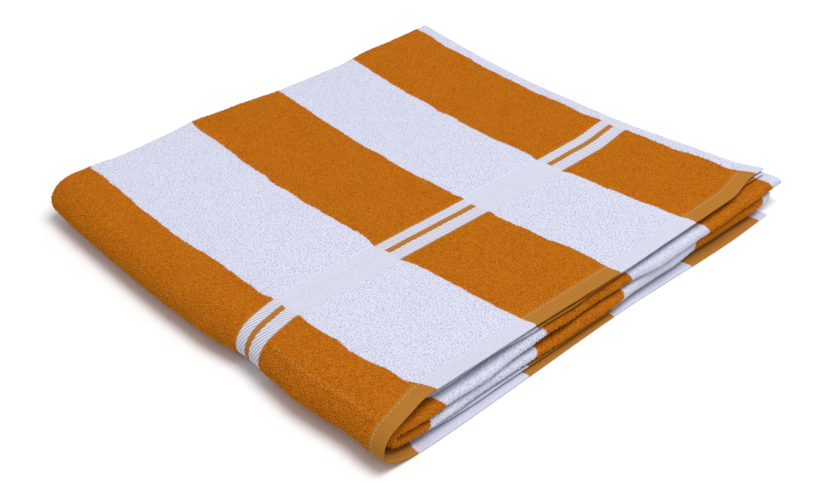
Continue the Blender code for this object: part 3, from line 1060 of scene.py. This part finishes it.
def make_cloth_material():
    """Stripes, hem and woven border, with loop roots and weave as fine relief."""
    material, tree, shader = new_material("Striped terry")
    cloth = cloth_places(tree)
    layout = use_group(tree, layout_group, Cloth=cloth, Wander=WANDER)
    height = use_group(tree, roots_group, Cloth=cloth, Loop_Size=LOOP_SIZE)["Height"]
    weave = use_group(tree, weave_group, Cloth=cloth, Rib_Pitch=RIB_PITCH,
                      Twill_Pitch=TWILL_PITCH, Twill_Slant=TWILL_SLANT)
    tree.links.new(cloth_colour(tree, layout, height, weave, cloth), shader.inputs["Base Color"])

    twill_height = calc(tree, "MULTIPLY", weave["Twill"], layout["Twill"])
    relief_mix = tree.nodes.new("ShaderNodeMix")
    feed(tree, relief_mix.inputs[0], layout["Flat"])
    feed(tree, relief_mix.inputs[2], calc(tree, "MULTIPLY", height, ROOT_BUMP))
    feed(tree, relief_mix.inputs[3],
         calc(tree, "MULTIPLY", calc(tree, "ADD", weave["Ribs"], twill_height), WEAVE_BUMP))
    bump = tree.nodes.new("ShaderNodeBump")
    bump.inputs["Distance"].default_value = 1.0
    tree.links.new(relief_mix.outputs[0], bump.inputs["Height"])
    tree.links.new(bump.outputs["Normal"], shader.inputs["Normal"])
    return material


towel.data.materials.append(make_cloth_material())
print("material:", towel.data.materials[0].name)

# %% [markdown]
# ## Where the crease's painted highlight lies
#
# Along the sharp crease by the nose the loops are painted paler in a thin streak,
# a painted highlight of the light that the crease's ridge catches.
# The relief already has a low ridge there, and this group gives the mask.
# How far a place lies from the line, and how far along it, are two dot products.

# %% Group: crease mark
MARK_START, MARK_END = Vector((*CREASE_START, 0.0)), Vector((*CREASE_END, 0.0))
MARK_HALF_WIDTH = 0.0018
MARK_FADE = 0.004


def make_crease_highlight_group():
    """1 on a straight line drawn on the cloth, 0 away from it and past its ends."""
    group, start, end = new_group("Crease painted highlight", [("Cloth", VECTOR), ("Half Width", NUMBER)],
                                  [("Mask", NUMBER)])
    run = MARK_END - MARK_START
    towards = run.normalized()
    beside = Vector((-towards.y, towards.x, 0.0))

    def distance_in(direction):
        """The distance from the mark's start in one direction."""
        node = group.nodes.new("ShaderNodeVectorMath")
        node.operation = "DOT_PRODUCT"
        group.links.new(start.outputs["Cloth"], node.inputs[0])
        node.inputs[1].default_value = direction
        return calc(group, "SUBTRACT", node.outputs["Value"], direction.dot(MARK_START))

    away, gone = calc(group, "ABSOLUTE", distance_in(beside)), distance_in(towards)
    on_line = remap(group, away, 0.0, start.outputs["Half Width"], 1.0, 0.0)
    begun = remap(group, gone, 0.0, MARK_FADE)
    unfinished = remap(group, gone, run.length - MARK_FADE, run.length, 1.0, 0.0)
    mask = calc(group, "MULTIPLY", on_line, calc(group, "MULTIPLY", begun, unfinished))
    group.links.new(mask, end.inputs["Mask"])
    return group


crease_highlight_group = make_crease_highlight_group()
print("crease:", round((MARK_END - MARK_START).length * 1000), "mm long")

# %% [markdown]
# ## The loops' material
#
# Each loop has one shade, because its whole surface holds one place in the UV map.
# A white noise gives neighbours slightly different shades, a fine noise makes
# small patches, and a broad one changes the tone over a few centimetres, as on
# cloth that has been handled.

# %% Loop material
LOOP_ORANGE = ((0.52, 0.150, 0.008, 1.0), (0.68, 0.290, 0.015, 1.0))
LOOP_WHITE = ((0.67, 0.68, 0.80, 1.0), (0.72, 0.73, 0.845, 1.0))
# Paler orange painted on the loops along the crease: a painted highlight.
CREASE_PAINTED_HIGHLIGHT = (0.72, 0.355, 0.055, 1.0)
BROAD_SCALE, PATCH_SCALE = 45.0, 260.0
BROAD_SHARE, PATCH_SHARE, OWN_SHARE = 0.25, 0.40, 0.35


def make_loop_material():
    """Yarn of the stripe that a loop stands in, each loop a little lighter or darker."""
    material, tree, shader = new_material("Terry loops")
    cloth = cloth_places(tree)
    layout = use_group(tree, layout_group, Cloth=cloth, Wander=WANDER)
    own = tree.nodes.new("ShaderNodeTexWhiteNoise")
    tree.links.new(cloth, own.inputs["Vector"])
    broad = remap(tree, noise(tree, cloth, BROAD_SCALE, 3.0, 0.6), 0.3, 0.7)
    patches = remap(tree, noise(tree, cloth, PATCH_SCALE, 2.0, 0.6), 0.35, 0.65)
    shade = calc(tree, "MULTIPLY_ADD", broad, BROAD_SHARE, calc(tree, "MULTIPLY", patches, PATCH_SHARE))
    shade = calc(tree, "MULTIPLY_ADD", own.outputs["Value"], OWN_SHARE, shade)
    crease = use_group(tree, crease_highlight_group, Cloth=cloth, Half_Width=MARK_HALF_WIDTH)["Mask"]
    # Painted highlight: loops along the crease get the paler orange.
    orange = blend_colours(tree, crease, blend_colours(tree, shade, *LOOP_ORANGE), CREASE_PAINTED_HIGHLIGHT)
    white = blend_colours(tree, shade, *LOOP_WHITE)
    tree.links.new(blend_colours(tree, layout["White"], orange, white), shader.inputs["Base Color"])
    return material


loop_material = make_loop_material()
for piece in loops:
    piece.data.materials.append(loop_material)
print("material:", loop_material.name)

# %% [markdown]
# ## The thread's material
#
# The hem is sewn in pale thread, which looks a little darker over orange cloth.
# It is smoother than the cotton of the loops.

# %% Thread material
THREAD_ON_ORANGE = (0.62, 0.40, 0.16, 1.0)
THREAD_ON_WHITE = (0.72, 0.72, 0.82, 1.0)


def make_thread_material():
    """Pale sewing thread, tinted by the stripe that it crosses."""
    material, tree, shader = new_material("Sewing thread")
    layout = use_group(tree, layout_group, Cloth=cloth_places(tree), Wander=WANDER)
    colour = blend_colours(tree, layout["White"], THREAD_ON_ORANGE, THREAD_ON_WHITE)
    tree.links.new(colour, shader.inputs["Base Color"])
    shader.inputs["Roughness"].default_value = 0.7
    return material


thread = make_thread_material()
for piece in stitches:
    piece.data.materials.append(thread)
print("material:", thread.name)

# %% [markdown]
# ## Fasten the pieces to the frame
#
# The sheet stands for the plain solid, and its stitches and loops go with it.

# %% Fasten
for piece in [towel] + stitches + loops:
    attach(piece, "root")
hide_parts("towel")

# %% [markdown]
# ## The floor
#
# The towel lies on a plain pale floor, which belongs to the stage and not to the
# towel.

# %% Floor
FLOOR_SIDE = 12.0
FLOOR_COLOUR = (0.92, 0.92, 0.92, 1.0)

corners = np.array([[-1, -1, 0], [1, -1, 0], [1, 1, 0], [-1, 1, 0]]) * FLOOR_SIDE / 2
floor = new_mesh_object("floor", corners, np.array([[0, 1, 2, 3]]), corners[:, :2])
floor_material, _, floor_shader = new_material("Pale floor")
floor_shader.inputs["Base Color"].default_value = FLOOR_COLOUR
floor.data.materials.append(floor_material)
floor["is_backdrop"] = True
print("floor side:", FLOOR_SIDE, "m")

# %% [markdown]
# ## The light
#
# One wide lamp high above and a pale sky give soft light, as in a light tent.
# A smaller lamp would give hard shadows between the loops.
# It stands on the side of the hems and away from the nose, so the nose is darker
# than the top.

# %% Light
KEY_PLACE, KEY_SIZE, KEY_POWER = (0.55, 0.30, 2.3), 1.4, 43.0
SKY_COLOUR, SKY_STRENGTH = (1.0, 1.0, 1.0, 1.0), 0.55


def area_light(name, place, size, power):
    """A square lamp of one size and power that points at the towel."""
    lamp = bpy.data.lights.new(name, "AREA")
    lamp.size = size
    lamp.energy = power
    holder = bpy.data.objects.new(name, lamp)
    holder.location = place
    holder.rotation_euler = (-Vector(place)).to_track_quat("-Z", "Y").to_euler()
    bpy.context.scene.collection.objects.link(holder)


area_light("key_light", KEY_PLACE, KEY_SIZE, KEY_POWER)
world = bpy.data.worlds.new("pale_sky")
world.use_nodes = True
world.node_tree.nodes["Background"].inputs["Color"].default_value = SKY_COLOUR
world.node_tree.nodes["Background"].inputs["Strength"].default_value = SKY_STRENGTH
bpy.context.scene.world = world
bpy.context.scene.view_settings.view_transform = "Standard"
print("lights:", [light.name for light in bpy.data.lights])

# %% [markdown]
# ## The camera
#
# The camera looks across the corner where the hems meet the nose.
# Its place is measured from that corner, and its lens from the width of the
# picture.

# %% Camera
CAMERA_FROM_CORNER = np.array([0.3635, -0.3532, 0.4853])
CAMERA_AZIMUTH = 45.75
CAMERA_ELEVATION = 34.52
PICTURE_WIDTH = 828
FOCAL_PIXELS = 1242.8

azimuth, elevation = math.radians(CAMERA_AZIMUTH), math.radians(CAMERA_ELEVATION)
lens = bpy.data.cameras.new("camera")
lens.sensor_width = 36.0
lens.lens = FOCAL_PIXELS / PICTURE_WIDTH * lens.sensor_width
camera = bpy.data.objects.new("camera", lens)
camera.location = shift + CAMERA_FROM_CORNER
camera.rotation_euler = (math.pi / 2 - elevation, 0.0, azimuth)
bpy.context.scene.collection.objects.link(camera)
bpy.context.scene.camera = camera
print("lens:", round(lens.lens, 1), "mm")

# %% [markdown]
# ## Check and finish
#
# How far the dressed towel has grown past the solid's box is printed.

# %% Finish
visible_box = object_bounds()
sizes = {"solid": [list(map(float, corner)) for corner in solid_box],
         "visible": [list(map(float, corner)) for corner in visible_box]}
grown = np.ptp(sizes["visible"], axis=0) - np.ptp(sizes["solid"], axis=0)
print("grown, in mm:", np.round(grown * 1000, 1))
